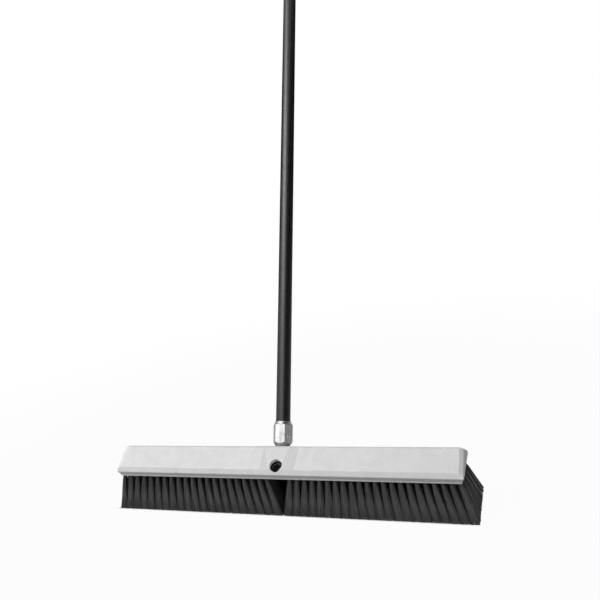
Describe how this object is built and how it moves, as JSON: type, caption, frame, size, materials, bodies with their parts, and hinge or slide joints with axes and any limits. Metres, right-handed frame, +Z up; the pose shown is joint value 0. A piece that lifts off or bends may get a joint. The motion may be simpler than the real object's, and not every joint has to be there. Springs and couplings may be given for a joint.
{
  "type": "push broom",
  "caption": "Push broom: gabled pale block with two angled handle sockets, rows of black bristle tufts and a screw-in black tube handle with hexagonal ferrule and hang cap.",
  "frame": {"origin": "on the floor, in the plane of the bristle tips, under the middle of the block", "axes": "+X along the block, +Y towards the side the handle leans to, +Z up"},
  "size_m": [0.6317, 0.8063, 1.4056],
  "materials": {
    "block": "matte moulded foam plastic",
    "bristle": "satin synthetic filament",
    "staple": "bright wire",
    "rubber": "matte",
    "plated_metal": "bright plated",
    "black_coat": "satin black coating",
    "black_plastic": "satin"
  },
  "bodies": {
    "head": {"broom_block": "block", "bristles_front_left": "bristle", "bristles_front_right": "bristle", "bristles_mid_front_left": "bristle", "bristles_mid_front_right": "bristle", "bristles_middle_left": "bristle", "bristles_middle_right": "bristle", "bristles_mid_rear_left": "bristle", "bristles_mid_rear_right": "bristle", "bristles_rear_left": "bristle", "bristles_rear_right": "bristle", "anchors_front": "staple", "anchors_mid_front": "staple", "anchors_middle": "staple", "anchors_mid_rear": "staple", "anchors_rear": "staple"},
    "ring": {"socket_ring": "rubber"},
    "handle": {"ferrule": "plated_metal", "ferrule_rivet": "plated_metal", "handle_tube": "black_coat", "hang_cap": "black_plastic"}
  },
  "joints": [
    {"name": "thread_advance", "type": "slide", "parent": "head", "child": "ring", "axis": [0, 0.4772, 0.8788], "range_m": [0, 0.0127]},
    {"name": "handle_turn", "type": "hinge", "parent": "ring", "child": "handle", "pos_m": [-0.005, 0.02811, 0.07556], "axis": [0, 0.4772, 0.8788], "range_deg": [0, 900.01]}
  ],
  "couplings": [
    {"joint": "handle_turn", "follows": "thread_advance", "rad_per_m": 1236.8}
  ]
}
